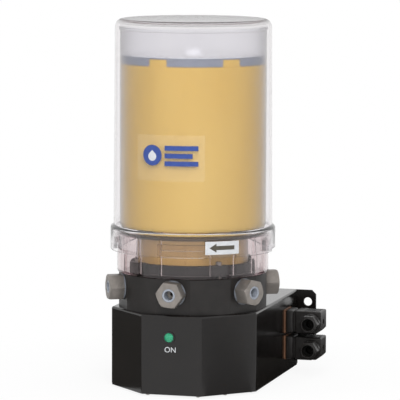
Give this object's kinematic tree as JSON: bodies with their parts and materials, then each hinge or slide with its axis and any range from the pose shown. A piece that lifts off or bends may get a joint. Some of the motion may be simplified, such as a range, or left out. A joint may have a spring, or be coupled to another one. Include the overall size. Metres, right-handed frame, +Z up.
{
  "type": "cartridge lubrication pump",
  "caption": "Automatic grease pump: clear bayonet cover over a grease cartridge, round pump body with radial outlets, folded steel drive housing, side connectors.",
  "frame": {"origin": "centre of the four wall holes, on the wall face of the ears", "axes": "+Z up along the reservoir, +Y into the wall, +X towards the connectors"},
  "size_m": [0.2359, 0.256, 0.4184],
  "materials": {
    "housing_paint": "gloss black paint over sheet steel",
    "body_black": "fine-textured satin black coating on cast metal",
    "clamp_black": "moulded black",
    "fitting_metal": "warm grey plated, matt",
    "screw_metal": "bright zinc plated",
    "bush_plastic": "white, slightly blue",
    "inner_steel": "ground steel",
    "bearing_bronze": "sintered bronze",
    "bridge_metal": "machined",
    "motor_metal": "satin case",
    "board_green": "solder resist",
    "bezel_black": "moulded, dark",
    "lens_green": "clear green, domed",
    "clear_plastic": "clear, faintly pink, moulded",
    "cartridge_plastic": "thin milky film-like wall",
    "grease": "opaque tan grease",
    "follower_plastic": "dark grey, moulded",
    "seal_rubber": "black",
    "gasket_rubber": "orange-brown silicone",
    "connector_black": "satin glass-filled nylon"
  },
  "bodies": {
    "base": {"box_shell": "housing_paint", "bottom_cover": "housing_paint", "bottom_cover_screws": "screw_metal", "pump_body": "body_black", "pump_body_screws": "screw_metal", "outlet_bushes": "bush_plastic", "outlet_washers": "bush_plastic", "plunger_springs": "inner_steel", "lower_bearing": "bearing_bronze", "upper_bearing": "bearing_bronze", "bearing_bridge": "bridge_metal", "gear_motor": "motor_metal", "motor_bracket": "inner_steel", "motor_screws": "screw_metal", "circuit_board": "board_green", "board_standoffs": "screw_metal", "lamp_bezel": "bezel_black", "lamp_lens": "lens_green", "lamp_nut": "bezel_black", "seat_ring": "clear_plastic", "ring_clamps": "clamp_black", "ring_clamp_screws": "screw_metal", "cartridge_shell": "cartridge_plastic", "cartridge_neck_seal": "seal_rubber", "grease_in_neck": "grease", "grease_fill": "grease", "connector_screws": "screw_metal", "gland_seals": "seal_rubber", "outlet_fitting_1": "fitting_metal", "pump_barrel_1": "inner_steel", "plunger_1": "inner_steel", "outlet_fitting_2": "fitting_metal", "pump_barrel_2": "inner_steel", "plunger_2": "inner_steel", "outlet_fitting_3": "fitting_metal", "pump_barrel_3": "inner_steel", "plunger_3": "inner_steel", "outlet_fitting_4": "fitting_metal", "pump_barrel_4": "inner_steel", "plunger_4": "inner_steel", "outlet_fitting_5": "fitting_metal", "pump_barrel_5": "inner_steel", "plunger_5": "inner_steel", "outlet_fitting_6": "fitting_metal", "pump_barrel_6": "inner_steel", "plunger_6": "inner_steel", "connector_gasket_upper": "gasket_rubber", "connector_base_upper": "connector_black", "connector_plug_upper": "connector_black", "gland_nut_upper": "connector_black", "connector_gasket_lower": "gasket_rubber", "connector_base_lower": "connector_black", "connector_plug_lower": "connector_black", "gland_nut_lower": "connector_black"},
    "cover": {"reservoir_cover": "clear_plastic"},
    "follower": {"follower_plate": "follower_plastic"},
    "shaft": {"drive_shaft": "inner_steel", "drive_gear": "inner_steel", "stirrer_paddle": "inner_steel"},
    "pinion": {"motor_pinion": "inner_steel"}
  },
  "joints": [
    {"name": "cover_turn", "type": "hinge", "parent": "base", "child": "cover", "pos_m": [0, -0.157, 0.12], "axis": [0, 0, 1], "range_deg": [0, 45]},
    {"name": "follower_slide", "type": "slide", "parent": "base", "child": "follower", "axis": [0, 0, 1], "range_m": [-0.17, 0], "deforming": ["grease_fill"]},
    {"name": "shaft_spin", "type": "hinge", "parent": "base", "child": "shaft", "pos_m": [0, -0.157, 0.0656], "axis": [0, 0, 1], "continuous": true},
    {"name": "pinion_spin", "type": "hinge", "parent": "base", "child": "pinion", "pos_m": [0, -0.105, 0.0225], "axis": [0, 0, 1], "continuous": true}
  ],
  "couplings": [
    {"joint": "pinion_spin", "follows": "shaft_spin", "ratio": -3.3333}
  ]
}
